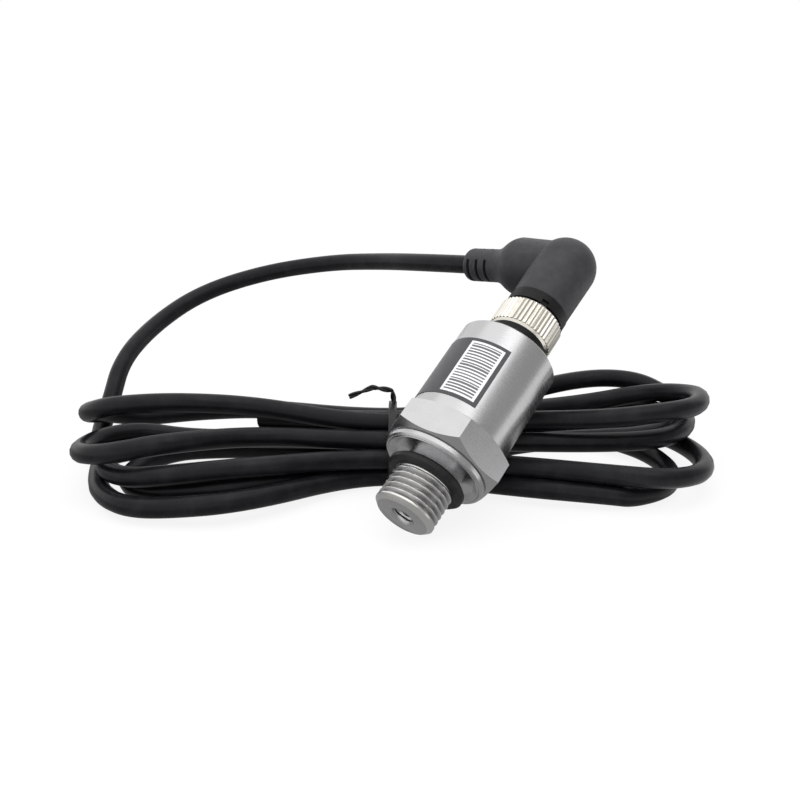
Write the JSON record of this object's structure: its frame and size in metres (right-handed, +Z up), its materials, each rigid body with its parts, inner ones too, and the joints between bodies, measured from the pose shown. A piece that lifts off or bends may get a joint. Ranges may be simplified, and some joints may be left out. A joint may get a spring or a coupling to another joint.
{
  "type": "pressure transmitter with cordset",
  "caption": "Compact pressure transmitter with a G1/4 threaded stud, hexagon and steel sleeve, plugged into an elbow cordset whose tied cable coil it leans on.",
  "frame": {"origin": "middle of the footprint of the transmitter and plug, without the cable, on the surface that the thread end and the coil rest on", "axes": "+Z up; +X the way the body leans, from the thread end towards the plug; +Y the side that the elbow's arm points to"},
  "size_m": [0.1131, 0.1412, 0.0521],
  "materials": {
    "stainless": "fine turned stainless steel",
    "nickel": "satin nickel plate on brass",
    "seal_rubber": "smooth nitrile rubber",
    "cell_ceramic": "matte white alumina",
    "gold": "gold plated contact",
    "board": "green solder mask",
    "chip_plastic": "moulded epoxy",
    "spacer_plastic": "natural nylon",
    "black_plastic": "black glass filled nylon",
    "label_film": "printed polyester film, dark with a white field",
    "overmold": "matte dark grey elastomer",
    "cable_jacket": "semi-gloss black PVC",
    "core_insulation": "coloured PVC insulation"
  },
  "bodies": {
    "transmitter": {"process_connection": "stainless", "port_seal_ring": "seal_rubber", "cell_seal": "seal_rubber", "sensor_cell": "cell_ceramic", "cell_clamp_ring": "stainless", "cell_leads": "gold", "board_spacer": "spacer_plastic", "signal_board": "board", "main_board": "board", "board_chip": "chip_plastic", "board_capacitors": "cell_ceramic", "housing_sleeve": "stainless", "rating_label": "label_film", "top_seal_ring": "seal_rubber", "connector_housing": "black_plastic", "contact_pins": "gold", "pin_leads": "gold"},
    "plug_and_cable": {"plug_face_seal": "seal_rubber", "socket_insert": "black_plastic", "socket_contacts": "gold", "lock_ring": "black_plastic", "conductor_cores": "core_insulation", "elbow_overmold": "overmold", "cable_lead": "cable_jacket", "cable_coil": "cable_jacket", "twist_tie": "cable_jacket"},
    "nut": {"coupling_nut": "nickel"}
  },
  "joints": [
    {"name": "plug_back_off", "type": "slide", "parent": "transmitter", "child": "plug_and_cable", "axis": [0.8231, 0, 0.5678], "range_m": [0, 0.004]},
    {"name": "nut_turn", "type": "hinge", "parent": "plug_and_cable", "child": "nut", "pos_m": [0.01095, -0.00694, 0.03386], "axis": [0.8231, 0, 0.5678], "range_deg": [0, 1440]}
  ],
  "couplings": [
    {"joint": "nut_turn", "follows": "plug_back_off", "rad_per_m": 6283.2}
  ]
}
